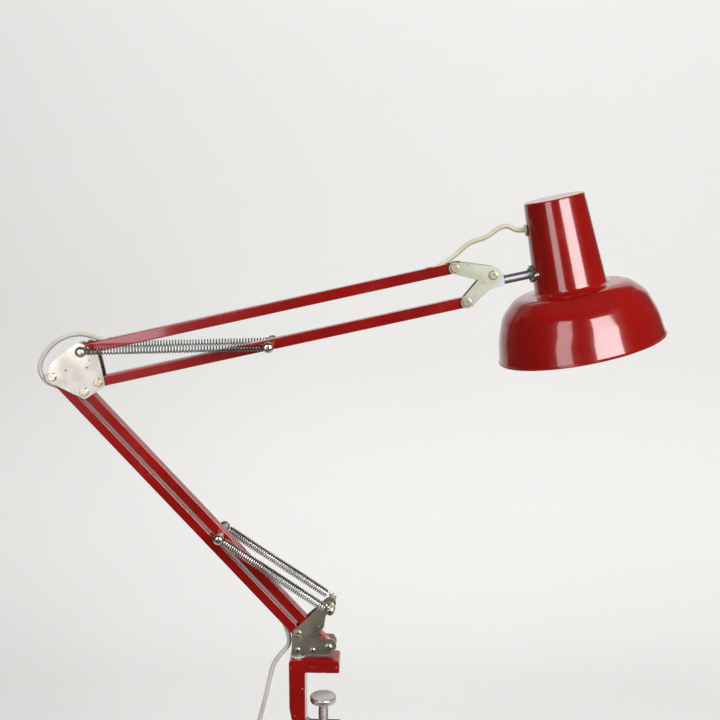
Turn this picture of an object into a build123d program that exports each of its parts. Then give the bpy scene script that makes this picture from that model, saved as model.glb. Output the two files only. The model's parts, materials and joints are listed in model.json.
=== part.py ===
from build123d import *
import os
from math import atan2, cos, degrees, hypot, radians, sin, tan

# Clamp-on desk lamp with two sprung parallelogram arms. Units are millimetres and degrees.
# +Z is up and the arms move in the XZ plane, reaching towards +X. The origin is the middle of
# the upper jaw's underside, which rests on the desk, straight above the clamp's screw.

os.makedirs("parts", exist_ok=True)

# ---------------------------------------------------------------- driving dimensions
RUN_FIT = 0.05            # radial clearance of a pin or shaft that turns in its hole
OPEN_FIT = 0.30           # radial clearance at the pivots that close the two linkages
SIDE_GAP = 0.40           # between a bar and the plates beside it

# clamp
JAW_LENGTH = 50.0
JAW_WIDTH = 26.0
JAW_THICK = 13.0
SPINE_THICK = 16.0
SPINE_FOOT = 9.0          # the spine's thickness where it meets the lower jaw
THROAT = 62.0
LOWER_JAW_THICK = 15.0
LOWER_JAW_TIP = 10.0      # the lower jaw's thickness at its free end
CLAMP_ROUND = 2.5
DESK_THICK = 30.0         # what the clamp holds at rest
SPINDLE_R = 5.0
SPINDLE_DROP = 50.0       # of the spindle below the lower jaw, at rest
PAD_R = 13.0
PAD_THICK = 6.0
PAD_SOCKET = 3.0
BOSS_R = 10.0
BOSS_DROP = 4.0
HANDLE_R = 3.0
HANDLE_LENGTH = 52.0
HANDLE_BALL_R = 4.6
HANDLE_HUB_R = 8.0
HANDLE_HUB_LENGTH = 14.0

# swivel post in the clamp's spine
POST_R = 5.0
POST_DEPTH = 36.0
FLANGE_R = 6.8
FLANGE_THICK = 3.0
WASHER_R = 7.8
WASHER_THICK = 1.0
BLOCK_HEIGHT = 9.5
BLOCK_FRONT = 20.8        # reach of the post's block in front of the swivel axis
BLOCK_BACK = 3.0
BLOCK_RIVETS = (0.4, 15.4)

# arms: square tubes
BAR = 10.0
BAR_WALL = 1.0
BAR_CORNER = 1.2
BAR_END = 5.5             # of each tube beyond its pivot
LOWER_ARM = 347.0
UPPER_ARM = 358.0
LOWER_ANGLE = 132.0
UPPER_ANGLE = 12.7
LOWER_LINK = 33.5         # between the lower arm's two pivots, and its direction
LOWER_LINK_ANGLE = -25.3
UPPER_LINK = 33.8
UPPER_LINK_ANGLE = -69.9
CORD_SLOT = 26.0          # length of the opening where the cord goes in or out of a tube

# plates
PLATE = 1.5
PLATE_BACK = 5.6          # of the base plates behind the swivel axis
REAR_PIVOT_RISE = 37.9    # of the lower arm's rear pivot above the desk
REAR_PIVOT_STEP = 0.8     # of that pivot in front of the swivel axis
ELBOW_STEP = (32.3, 26.6)
HEAD_STEP = (35.4, -6.3)
HORN_STEP = (2.4, 43.6)   # from the base's front pivot to the springs' stud

# pins, screws and nuts
PIN_R = 2.5
HEAD_R = 4.2
HEAD_THICK = 2.0
SLOT_WIDE = 1.0
SLOT_DEEP = 0.9
NUT_FLATS = 8.0
NUT_THICK = 3.2
NUT_DOME = 2.4
RIVET_R = 1.8
RIVET_HEAD_R = 3.0
RIVET_HEAD_THICK = 1.3

# springs
SPRING_Y = 18.0
SPRING_PIN_R = 2.2
UPPER_SPRING_R = 3.4
UPPER_SPRING_WIRE = 0.6       # radius of its wire
UPPER_SPRING_REACH = 168.7   # of the springs' tail pin along the upper arm's lower tube
LOWER_SPRING_R = 4.5
LOWER_SPRING_WIRE = 0.85
LOWER_SPRING_REACH = 156.3
LOOP_FIT = 0.35           # between a spring's end loop and its pin
SPRING_END = 6.0          # length of the last, closed turns at a coil's tail end
BUSH_R = 3.6
DOME_R = 5.2
DOME_THICK = 4.6
HOOK_SHANK = 9.0          # of a hook's straight shank inside the coil
COIL_GAP = 5.8            # from a spring's pin to its first turn, past the domed head

# head: knuckle, stem and shade
STEM_ANGLE = 12.4
STEM_DROP = 7.0           # of the stem's axis below the head pivot
STEM_R = 4.1
STEM_JOURNAL_R = 3.0
KNUCKLE_WIDTH = 10.2
KNUCKLE_EYE_R = 6.6
KNUCKLE_BACK = 8.5
KNUCKLE_FRONT = 9.0
KNUCKLE_DEEP = 5.4        # of the block below the stem's axis
CLIP_R = 4.8
CLIP_THICK = 1.2
STEM_REACH = 68.0         # from the head pivot to the shade's axis
STEM_HEIGHT = 64.8        # from the shade's top down to the stem
SADDLE_THICK = 2.6
SADDLE_HIGH = 17.0
SADDLE_SPREAD = 43.0
SADDLE_TURN = 26.7        # of each saddle screw round the neck from the middle plane
SADDLE_SCREW_R = 1.6
SADDLE_SCREW_HEAD_R = 2.8
TOP_R = 28.0
NECK_R = 33.6
NECK_LENGTH = 84.8
RIM_R = 78.2
SHADE_LENGTH = 141.7
SHADE_WALL = 1.2
RIM_BEAD_R = 1.3
SHADE_TOP_ROUND = 1.6
NECK_ROUND = 4.0
BELL_CORNERS = ((53.0, 86.0, 17.0), (67.2, 99.6, 26.0), (74.7, 120.5, 60.0))
GROMMET_AT = 24.2         # of the cord's grommet below the shade's top
GROMMET_R = 5.6
GROMMET_HOLE_R = 3.0
GROMMET_FLANGE = 1.8
GROMMET_STANDS = 0.45     # of its flat flange off the round neck

# lampholder and bulb inside the shade
STRAP_THICK = 1.6
STRAP_GAP = 0.1           # between the strap and the neck's inside
STRAP_HIGH = 12.0
SHELF_AT = 18.0           # of the lampholder's shelf below the shade's top
SHELF_R = 17.0
HOLDER_R = 17.5
HOLDER_LENGTH = 40.0
HOLDER_WALL = 3.0
HOLDER_RING_R = 20.0
HOLDER_RING_LENGTH = 8.0
BULB_CAP_R = 13.0
BULB_CAP_LENGTH = 26.0
BULB_R = 22.5
BULB_LENGTH = 50.0

# cord
CORD_R = 2.3
RELIEF_R = 4.2            # of a strain relief where it leaves its housing, and at its tip
RELIEF_TIP_R = 3.0
RELIEF_LENGTH = 20.0
SWITCH_SIZE = (24.0, 16.0, 54.0)
SWITCH_ROUND = 3.0
ROCKER_SIZE = (4.5, 10.0, 19.0)
RING_R = 26.0             # middle of the spare cord's turns, and the bundle's own radius
RING_TUBE_R = 9.1
RING_LEAD = 50.0          # from a strain relief's tip to the middle of the turns
TIE_R = 11.0
TIE_LENGTH = 8.0
TIE_GAP = 0.9             # between the tie and the bundle, which curves inside it
PLUG_LENGTH = 36.0
PLUG_PIN_R = 2.0
PLUG_PIN_LENGTH = 19.0
PLUG_PIN_SPACING = 19.0


# ---------------------------------------------------------------- points in the XZ plane
def step(point, offset):
    return (point[0] + offset[0], point[1] + offset[1])


def polar(length, angle):
    return (length * cos(radians(angle)), length * sin(radians(angle)))


def beside(point, angle, along, across):
    """A point given along a direction and across it, to its left."""
    ahead = polar(along, angle)
    aside = polar(across, angle + 90.0)
    return (point[0] + ahead[0] + aside[0], point[1] + ahead[1] + aside[1])


def span(start, end):
    """Length and direction from one point to another."""
    across, rise = end[0] - start[0], end[1] - start[1]
    return hypot(across, rise), degrees(atan2(rise, across))


SWIVEL_X = -JAW_LENGTH / 2
BASE_REAR = (SWIVEL_X + REAR_PIVOT_STEP, REAR_PIVOT_RISE)
BASE_FRONT = step(BASE_REAR, polar(LOWER_LINK, LOWER_LINK_ANGLE))
HORN = step(BASE_FRONT, HORN_STEP)
ELBOW_LEFT = step(BASE_REAR, polar(LOWER_ARM, LOWER_ANGLE))
ELBOW_LOW = step(BASE_FRONT, polar(LOWER_ARM, LOWER_ANGLE))
ELBOW_TOP = step(ELBOW_LEFT, ELBOW_STEP)
ELBOW_RIGHT = step(ELBOW_TOP, polar(UPPER_LINK, UPPER_LINK_ANGLE))
HEAD_TOP = step(ELBOW_TOP, polar(UPPER_ARM, UPPER_ANGLE))
HEAD_LOW = step(ELBOW_RIGHT, polar(UPPER_ARM, UPPER_ANGLE))
HEAD_PIVOT = step(HEAD_TOP, HEAD_STEP)
LOWER_TAIL = beside(BASE_FRONT, LOWER_ANGLE, LOWER_SPRING_REACH, 0)
UPPER_TAIL = beside(ELBOW_RIGHT, UPPER_ANGLE, UPPER_SPRING_REACH, 0)
STEM_FOOT = beside(HEAD_PIVOT, STEM_ANGLE, 0, -STEM_DROP)
SHADE_TOP = beside(HEAD_PIVOT, STEM_ANGLE, STEM_REACH, STEM_HEIGHT - STEM_DROP)

PLATE_IN = BAR / 2 + SIDE_GAP
PLATE_OUT = PLATE_IN + PLATE
SPINE_BACK = SWIVEL_X - SPINE_THICK / 2
SPINE_FACE = SWIVEL_X + SPINE_THICK / 2
JAW_FRONT = SPINE_BACK + JAW_LENGTH


# ---------------------------------------------------------------- solids shared by the pieces
def slab(outline, y0, y1):
    """A flat outline of the XZ plane made solid from y0 to y1."""
    return extrude(Plane.XZ.offset(-max(y0, y1)) * outline, amount=abs(y1 - y0))


def disc(point, radius, y0, y1):
    return slab(Pos(*point) * Circle(radius), y0, y1)


def outline(corners):
    """A closed outline from (x, z, corner radius) triples."""
    points = [(x, z) for x, z, radius in corners]
    radii = [radius for x, z, radius in corners]
    return make_face(FilletPolyline(*points, radius=radii, close=True))


def box_beside(point, angle, along, across, y_half):
    """A box given by its range along a direction and its range across it."""
    corners = [
        beside(point, angle, along[0], across[0]),
        beside(point, angle, along[1], across[0]),
        beside(point, angle, along[1], across[1]),
        beside(point, angle, along[0], across[1]),
    ]
    return slab(make_face(Polyline(*corners, close=True)), -y_half, y_half)


def lengthwise(point, angle, y=0.0):
    """A plane whose normal runs along a direction of the XZ plane."""
    ahead = polar(1.0, angle)
    return Plane(origin=(point[0], y, point[1]), x_dir=(0, 1, 0), z_dir=(ahead[0], 0, ahead[1]))


def tube_along(point, angle, length, radius, y=0.0, bore=0.0):
    face = Circle(radius) - Circle(bore) if bore else Circle(radius)
    return extrude(lengthwise(point, angle, y) * face, amount=length)


def hull(first, first_radius, second, second_radius):
    """The outline of two discs and the strip between them."""
    edges = [(Pos(*first) * Circle(first_radius)).edge(), (Pos(*second) * Circle(second_radius)).edge()]
    return make_hull(edges)


def square_tube(start, angle, length):
    face = RectangleRounded(BAR, BAR, BAR_CORNER)
    face -= RectangleRounded(BAR - 2 * BAR_WALL, BAR - 2 * BAR_WALL, BAR_CORNER / 2)
    first = beside(start, angle, -BAR_END, 0)
    return extrude(lengthwise(first, angle) * face, amount=length + 2 * BAR_END)


def hole(point, radius, fit=RUN_FIT):
    return disc(point, radius + fit, -3 * BAR, 3 * BAR)


def slotted_screw(point, length, slot_angle):
    """A shouldered screw with its slotted head on the near side."""
    screw = disc(point, PIN_R, -PLATE_OUT, length - PLATE_OUT)
    head = disc(point, HEAD_R, -PLATE_OUT - HEAD_THICK, -PLATE_OUT)
    head = fillet(head.faces().sort_by(Axis.Y)[0].edges(), HEAD_THICK * 0.4)
    middle = (point[0], -PLATE_OUT - HEAD_THICK + SLOT_DEEP / 2, point[1])
    slot = Pos(*middle) * Rot(0, slot_angle, 0) * Box(2.5 * HEAD_R, SLOT_DEEP, SLOT_WIDE)
    return screw + head - slot


def dome_nut(point, y0, side, pin_radius=PIN_R, pin_depth=4.0):
    """A domed hexagon nut whose flat face is at y0, pointing outwards on the given side."""
    base = slab(Pos(*point) * RegularPolygon(NUT_FLATS / 2, 6, major_radius=False), y0, y0 + side * NUT_THICK)
    dome = disc(point, NUT_FLATS * 0.46, y0, y0 + side * (NUT_THICK + NUT_DOME))
    outer = dome.faces().sort_by(Axis.Y)[-1 if side > 0 else 0]
    dome = fillet(outer.edges(), NUT_DOME * 0.95)
    return base + dome - disc(point, pin_radius + RUN_FIT, y0, y0 + side * pin_depth)


def button(point, radius, y0, side, thick):
    """A round button head standing on y0."""
    head = disc(point, radius, y0, y0 + side * thick)
    outer = head.faces().sort_by(Axis.Y)[-1 if side > 0 else 0]
    return fillet(outer.edges(), thick * 0.8)


def rivet(point):
    body = disc(point, RIVET_R, -PLATE_OUT, PLATE_OUT)
    for side in (-1, 1):
        body += button(point, RIVET_HEAD_R, side * PLATE_OUT, side, RIVET_HEAD_THICK)
    return body


def both_sides(piece):
    """The piece and its mirror image on the other side of the arms."""
    return Compound(children=[piece, mirror(piece, about=Plane.XZ)])


def save(name, shape):
    export_step(shape, "parts/" + name + ".step")
    print(f"{name:28s} volume {shape.volume:11.1f}")


# ---------------------------------------------------------------- clamp
def clamp_body():
    foot = -THROAT
    spine_lip = SPINE_FACE - SPINE_FOOT
    corners = [
        (SPINE_BACK, JAW_THICK, 4.0),
        (SPINE_BACK, -THROAT * 0.62, 25.0),
        (spine_lip, foot - LOWER_JAW_THICK, 10.0),
        (JAW_FRONT, foot - LOWER_JAW_TIP, 3.0),
        (JAW_FRONT, foot, 2.0),
        (SPINE_FACE, foot, 5.0),
        (SPINE_FACE, 0, 1.5),
        (JAW_FRONT, 0, 1.5),
        (JAW_FRONT, JAW_THICK, 3.0),
    ]
    body = slab(outline(corners), -JAW_WIDTH / 2, JAW_WIDTH / 2)
    side_faces = body.faces().filter_by(Plane.XZ)
    body = chamfer(side_faces.edges(), 0.8)
    boss_top = foot - LOWER_JAW_TIP
    boss = Pos(0, 0, boss_top - BOSS_DROP / 2) * Cylinder(BOSS_R, BOSS_DROP + 4.0)
    body += boss
    bore_length = LOWER_JAW_THICK + BOSS_DROP + 20.0
    body -= Pos(0, 0, foot - bore_length / 2 + 5.0) * Cylinder(SPINDLE_R + RUN_FIT, bore_length)
    socket_depth = POST_DEPTH + 1.0
    body -= Pos(SWIVEL_X, 0, JAW_THICK - socket_depth / 2) * Cylinder(POST_R + RUN_FIT, socket_depth)
    return body


PAD_TOP = -DESK_THICK
PAD_FLOOR = PAD_TOP - PAD_THICK
SPINDLE_FOOT = -THROAT - LOWER_JAW_THICK - SPINDLE_DROP


def clamp_pad():
    pad = Pos(0, 0, PAD_TOP - PAD_THICK / 2) * Cylinder(PAD_R, PAD_THICK)
    pad = fillet(pad.edges().filter_by(GeomType.CIRCLE), 1.2)
    socket = Pos(0, 0, PAD_FLOOR + PAD_SOCKET / 2) * Cylinder(SPINDLE_R + RUN_FIT, PAD_SOCKET)
    return pad - socket


def clamp_screw():
    top = PAD_FLOOR + PAD_SOCKET - 0.2
    length = top - SPINDLE_FOOT
    screw = Pos(0, 0, top - length / 2) * Cylinder(SPINDLE_R, length)
    hub = Pos(0, 0, SPINDLE_FOOT + HANDLE_HUB_LENGTH / 2) * Cylinder(HANDLE_HUB_R, HANDLE_HUB_LENGTH)
    hub = fillet(hub.edges().filter_by(GeomType.CIRCLE), 1.5)
    cross = Pos(0, 0, SPINDLE_FOOT + HANDLE_HUB_LENGTH / 2) * Rot(90, 0, 0) * Cylinder(HANDLE_R, 4 * HANDLE_HUB_R)
    return screw + hub - cross


def clamp_handle():
    height = SPINDLE_FOOT + HANDLE_HUB_LENGTH / 2
    bar = Pos(0, 0, height) * Rot(90, 0, 0) * Cylinder(HANDLE_R, HANDLE_LENGTH)
    for side in (-1, 1):
        bar += Pos(0, side * HANDLE_LENGTH / 2, height) * Sphere(HANDLE_BALL_R)
    return bar


# ---------------------------------------------------------------- swivel bracket
WASHER_TOP = JAW_THICK + WASHER_THICK
FLANGE_FOOT = WASHER_TOP + 0.1
BLOCK_FOOT = FLANGE_FOOT + FLANGE_THICK
BLOCK_TOP = BLOCK_FOOT + BLOCK_HEIGHT
RIVET_POINTS = [(SWIVEL_X + reach, BLOCK_FOOT + BLOCK_HEIGHT * 0.42) for reach in BLOCK_RIVETS]


def post_washer():
    ring = Cylinder(WASHER_R, WASHER_THICK) - Cylinder(POST_R + RUN_FIT, WASHER_THICK)
    return Pos(SWIVEL_X, 0, JAW_THICK + WASHER_THICK / 2) * ring


def swivel_post():
    corners = [
        (SWIVEL_X - BLOCK_BACK, BLOCK_FOOT, 1.0),
        (SWIVEL_X + BLOCK_FRONT, BLOCK_FOOT, 2.0),
        (SWIVEL_X + BLOCK_FRONT, BLOCK_TOP, 3.0),
        (SWIVEL_X - BLOCK_BACK, BLOCK_TOP, 3.0),
    ]
    post = slab(outline(corners), -PLATE_IN, PLATE_IN)
    post += Pos(SWIVEL_X, 0, BLOCK_FOOT - FLANGE_THICK / 2) * Cylinder(FLANGE_R, FLANGE_THICK)
    post += Pos(SWIVEL_X, 0, FLANGE_FOOT - POST_DEPTH / 2) * Cylinder(POST_R, POST_DEPTH)
    for point in RIVET_POINTS:
        post -= hole(point, RIVET_R)
    return post


def base_plate():
    """The near plate: a foot round the four lower fasteners and a horn for the springs."""
    left = SWIVEL_X - PLATE_BACK
    floor = BLOCK_FOOT + 0.2
    rear, front, horn = BASE_REAR, BASE_FRONT, HORN
    corners = [
        (left, floor, 1.5),
        (front[0] + 1.0, floor, 6.0),
        (front[0] + 8.6, front[1] + 1.8, 5.0),
        (front[0] + 4.6, front[1] + 9.6, 2.5),
        (front[0] - 9.2, front[1] + 10.4, 4.5),
        (front[0] - 9.0, front[1] + 17.2, 4.0),
        (front[0] - 4.4, front[1] + 22.0, 5.0),
        (front[0] - 2.6, front[1] + 36.0, 6.0),
        (horn[0] + 5.4, horn[1] - 3.8, 4.0),
        (horn[0] + 2.6, horn[1] + 5.6, 4.0),
        (horn[0] - 4.6, horn[1] + 4.4, 4.0),
        (rear[0] - 5.8, rear[1] + 2.8, 4.5),
    ]
    plate = slab(outline(corners), -PLATE_OUT, -PLATE_IN)
    for point in (rear, front, horn):
        plate -= hole(point, PIN_R if point != horn else SPRING_PIN_R)
    for point in RIVET_POINTS:
        plate -= hole(point, RIVET_R)
    return plate


def spring_stud():
    """The stud riveted to the near base plate, with the head that keeps the spring's loop on."""
    stud = disc(HORN, SPRING_PIN_R, -SPRING_Y - 2.2, -PLATE_IN)
    stud += disc(HORN, BUSH_R, -SPRING_Y + LOWER_SPRING_WIRE + LOOP_FIT, -PLATE_OUT)
    stud += button(HORN, BUSH_R, -SPRING_Y - LOWER_SPRING_WIRE - LOOP_FIT, -1, 1.6)
    return stud


# ---------------------------------------------------------------- arms
def lower_rear_bar():
    bar = square_tube(BASE_REAR, LOWER_ANGLE, LOWER_ARM)
    for point in (BASE_REAR, ELBOW_LEFT):
        bar -= hole(point, PIN_R)
    wall_cut = (BAR / 2 - BAR_WALL - 0.5, BAR)
    inside = BAR / 2 - BAR_WALL
    bar -= box_beside(BASE_REAR, LOWER_ANGLE, (-2 * BAR_END, CORD_SLOT), wall_cut, inside)
    bar -= box_beside(ELBOW_LEFT, LOWER_ANGLE, (-CORD_SLOT, 2 * BAR_END), wall_cut, inside)
    return bar


def lower_front_bar():
    bar = square_tube(BASE_FRONT, LOWER_ANGLE, LOWER_ARM)
    bar -= hole(BASE_FRONT, PIN_R)
    bar -= hole(ELBOW_LOW, PIN_R, OPEN_FIT)
    bar -= hole(LOWER_TAIL, SPRING_PIN_R)
    return bar


def upper_top_bar():
    bar = square_tube(ELBOW_TOP, UPPER_ANGLE, UPPER_ARM)
    for point in (ELBOW_TOP, HEAD_TOP):
        bar -= hole(point, PIN_R)
    wall_cut = (BAR / 2 - BAR_WALL - 0.5, BAR)
    inside = BAR / 2 - BAR_WALL
    bar -= box_beside(ELBOW_TOP, UPPER_ANGLE, (-2 * BAR_END, CORD_SLOT), wall_cut, inside)
    bar -= box_beside(HEAD_TOP, UPPER_ANGLE, (-CORD_SLOT, 2 * BAR_END), wall_cut, inside)
    return bar


def upper_bottom_bar():
    bar = square_tube(ELBOW_RIGHT, UPPER_ANGLE, UPPER_ARM)
    bar -= hole(ELBOW_RIGHT, PIN_R)
    bar -= hole(HEAD_LOW, PIN_R, OPEN_FIT)
    bar -= hole(UPPER_TAIL, SPRING_PIN_R)
    return bar


# ---------------------------------------------------------------- elbow and head plates
def elbow_plate():
    left, low, top, right = ELBOW_LEFT, ELBOW_LOW, ELBOW_TOP, ELBOW_RIGHT
    corners = [
        (left[0] - 7.4, left[1] - 3.2, 4.5),
        (left[0] + 0.6, left[1] + 14.2, 16.0),
        (top[0] - 5.6, top[1] + 7.4, 7.0),
        (top[0] + 12.2, top[1] - 2.6, 7.0),
        (right[0] + 7.2, right[1] - 3.4, 4.5),
        (low[0] + 0.4, low[1] - 7.4, 4.5),
    ]
    plate = slab(outline(corners), -PLATE_OUT, -PLATE_IN)
    for point in (left, low, top, right):
        plate -= hole(point, PIN_R)
    return plate


LOBE_R = 5.6
NOSE_R = 7.8


def head_plate():
    face = hull(HEAD_TOP, LOBE_R, HEAD_PIVOT, NOSE_R) + hull(HEAD_LOW, LOBE_R, HEAD_PIVOT, NOSE_R)
    plate = slab(face, -PLATE_OUT, -PLATE_IN)
    for point in (HEAD_TOP, HEAD_LOW, HEAD_PIVOT):
        plate -= hole(point, PIN_R)
    return plate


# ---------------------------------------------------------------- springs and their pins
def spring_pin(point, wire, first, radius=SPRING_PIN_R):
    """A cross pin whose shoulders reach from its first face out to the two springs' loops."""
    end = SPRING_Y + wire + LOOP_FIT + 3.0
    pin = disc(point, radius, -end, end)
    for side in (-1, 1):
        pin += disc(point, BUSH_R, side * (SPRING_Y - wire - LOOP_FIT), side * first)
    return pin


def spring_dome(point, wire, radius=SPRING_PIN_R):
    """The domed nut outside the near spring's loop."""
    y0 = -SPRING_Y - wire - LOOP_FIT
    dome = disc(point, DOME_R, y0 - DOME_THICK, y0)
    dome = fillet(dome.faces().sort_by(Axis.Y)[0].edges(), DOME_THICK * 0.8)
    return dome - disc(point, radius + RUN_FIT, y0 - 3.2, y0) if radius else dome


def tail_pin(point, wire):
    """A riveted spring pin: shoulders beside the tube and a domed head outside each spring."""
    pin = spring_pin(point, wire, BAR / 2)
    dome = spring_dome(point, wire, 0.0)
    return pin + dome + mirror(dome, about=Plane.XZ)


def spring_loop(point, angle, wire, radius, shank):
    """One ring round a pin, with a shank that points along the spring."""
    ring_r = radius + LOOP_FIT + wire
    ring = Pos(point[0], -SPRING_Y, point[1]) * Rot(90, 0, 0) * Torus(ring_r, wire)
    start = beside(point, angle, ring_r, 0)
    return ring + tube_along(start, angle, shank, wire, -SPRING_Y)


def coil_span(anchor, tail):
    """Where a coil starts beyond its anchor's loop, and how long it is."""
    length, angle = span(anchor, tail)
    return beside(anchor, angle, COIL_GAP, 0), angle, length - 2 * COIL_GAP


def coil(anchor, tail, wire, outer):
    start, angle, length = coil_span(anchor, tail)
    return tube_along(start, angle, length - SPRING_END, outer, -SPRING_Y, outer - 2 * wire)


def coil_end(anchor, tail, wire, outer):
    start, angle, length = coil_span(anchor, tail)
    first = beside(start, angle, length - SPRING_END, 0)
    return tube_along(first, angle, SPRING_END, outer, -SPRING_Y, outer - 2 * wire)


# ---------------------------------------------------------------- head
def knuckle():
    eye = disc(HEAD_PIVOT, KNUCKLE_EYE_R, -KNUCKLE_WIDTH / 2, KNUCKLE_WIDTH / 2)
    reach = (-KNUCKLE_BACK, KNUCKLE_FRONT)
    depth = (-STEM_DROP - KNUCKLE_DEEP, 0.0)
    block = box_beside(HEAD_PIVOT, STEM_ANGLE, reach, depth, KNUCKLE_WIDTH / 2)
    block = fillet(block.edges().filter_by(Axis.Y), 2.0)
    body = eye + block
    body -= hole(HEAD_PIVOT, PIN_R)
    start = beside(STEM_FOOT, STEM_ANGLE, -2 * KNUCKLE_BACK, 0)
    return body - tube_along(start, STEM_ANGLE, 4 * KNUCKLE_BACK, STEM_JOURNAL_R + RUN_FIT)


def neck_radius(down):
    """Outer radius of the shade's neck at a distance below its top."""
    return TOP_R + (NECK_R - TOP_R) * down / NECK_LENGTH


SHADE_PLACE = Pos(SHADE_TOP[0], 0, SHADE_TOP[1]) * Rot(0, -STEM_ANGLE, 0)


def stem_rod():
    journal_start = beside(STEM_FOOT, STEM_ANGLE, -KNUCKLE_BACK - CLIP_THICK - 1.2, 0)
    shoulder = KNUCKLE_FRONT + 0.3
    journal = tube_along(journal_start, STEM_ANGLE, KNUCKLE_BACK + CLIP_THICK + 1.2 + shoulder, STEM_JOURNAL_R)
    rod_end = STEM_REACH - neck_radius(STEM_HEIGHT) - SADDLE_THICK - 1.2
    rod = tube_along(beside(STEM_FOOT, STEM_ANGLE, shoulder, 0), STEM_ANGLE, rod_end - shoulder, STEM_R)
    clip_cut = stem_clip_ring(STEM_JOURNAL_R + 0.5, STEM_JOURNAL_R - 0.5)
    return journal + rod - clip_cut


def stem_clip_ring(outer, inner):
    start = beside(STEM_FOOT, STEM_ANGLE, -KNUCKLE_BACK - CLIP_THICK - 0.3, 0)
    return tube_along(start, STEM_ANGLE, CLIP_THICK, outer, 0.0, inner)


def shade_profile():
    """The shade's section as an outer region and the same region one wall smaller."""
    floor = -SHADE_LENGTH - 12.0
    rim_slope = (RIM_R - BELL_CORNERS[-1][0]) / (SHADE_LENGTH - BELL_CORNERS[-1][1])
    skirt_r = RIM_R + 12.0 * rim_slope
    corners = [(-12.0, 0.0, 1.0), (TOP_R, 0.0, SHADE_TOP_ROUND), (NECK_R, -NECK_LENGTH, NECK_ROUND)]
    corners += [(r, -down, radius) for r, down, radius in BELL_CORNERS]
    corners += [(skirt_r, floor, 1.0), (-12.0, floor, 1.0)]
    outer = outline(corners)
    inner = offset(outer, -SHADE_WALL)
    return outer, inner


def shade():
    outer, inner = shade_profile()
    window = Pos(RIM_R, -SHADE_LENGTH / 2) * Rectangle(2 * RIM_R, SHADE_LENGTH)
    section = (outer - inner) & window
    body = revolve(Plane.XZ * section, Axis.Z)
    body += Pos(0, 0, -SHADE_LENGTH) * Torus(RIM_R - RIM_BEAD_R / 2, RIM_BEAD_R)
    body -= side_hole(GROMMET_AT, 0.0, GROMMET_HOLE_R + 1.0)
    for side in (-1, 1):
        body -= side_hole(STEM_HEIGHT, side * SADDLE_TURN, SADDLE_SCREW_R + RUN_FIT)
    return SHADE_PLACE * body


def side_hole(down, turn, radius):
    """A hole through the neck's arm side, square to the shade's axis and turned round it."""
    return Rot(0, 0, turn) * Pos(-NECK_R, 0, -down) * Rot(0, 90, 0) * Cylinder(radius, NECK_R)


def neck_shell(inner_gap, thick, low, high):
    """A ring that follows the neck's cone, outside it or inside it."""
    rows = [(neck_radius(down) + inner_gap, -down) for down in (low, high)]
    corners = [rows[0], rows[1], (rows[1][0] + thick, rows[1][1]), (rows[0][0] + thick, rows[0][1])]
    return revolve(Plane.XZ * make_face(Polyline(*corners, close=True)), Axis.Z)


def neck_core(low, high):
    """The space inside the neck's outer surface between two heights."""
    corners = [(0, -low), (neck_radius(low), -low), (neck_radius(high), -high), (0, -high)]
    return revolve(Plane.XZ * make_face(Polyline(*corners, close=True)), Axis.Z)


def saddle():
    """The stem's flared foot, wrapped round the neck on both sides of the rod."""
    low, high = STEM_HEIGHT - SADDLE_HIGH, STEM_HEIGHT + SADDLE_HIGH
    shell = neck_shell(0.0, SADDLE_THICK, low, high)
    leaf = [
        (0, -SADDLE_HIGH / 2, 6.0),
        (SADDLE_SPREAD / 2, 0, 3.0),
        (0, SADDLE_HIGH / 2, 6.0),
        (-SADDLE_SPREAD / 2, 0, 3.0),
    ]
    side_plane = Plane(origin=(-2 * NECK_R, 0, -STEM_HEIGHT), x_dir=(0, 1, 0), z_dir=(1, 0, 0))
    body = shell & extrude(side_plane * outline(leaf), amount=2 * NECK_R)
    neck_at_stem = neck_radius(STEM_HEIGHT)
    flare_plane = Plane(origin=(-neck_at_stem - SADDLE_THICK - 1.2, 0, -STEM_HEIGHT), x_dir=(0, 1, 0), z_dir=(1, 0, 0))
    flare = extrude(flare_plane * Circle(STEM_R + 1.6), amount=SADDLE_THICK + 1.2)
    body += flare - neck_core(low, high)
    for side in (-1, 1):
        body -= side_hole(STEM_HEIGHT, side * SADDLE_TURN, SADDLE_SCREW_R + RUN_FIT)
    return SHADE_PLACE * body


def saddle_screws():
    """Two round-headed screws through the saddle, the neck and the inner strap."""
    screws = []
    for side in (-1, 1):
        seat = -neck_radius(STEM_HEIGHT) - SADDLE_THICK - 0.25
        shank = Pos(seat + 4.0, 0, -STEM_HEIGHT) * Rot(0, 90, 0) * Cylinder(SADDLE_SCREW_R, 10.0)
        head = Pos(seat - 0.9, 0, -STEM_HEIGHT) * Rot(0, 90, 0) * Cylinder(SADDLE_SCREW_HEAD_R, 1.8)
        screws.append(SHADE_PLACE * Rot(0, 0, side * SADDLE_TURN) * (shank + head))
    return Compound(children=screws)


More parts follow.
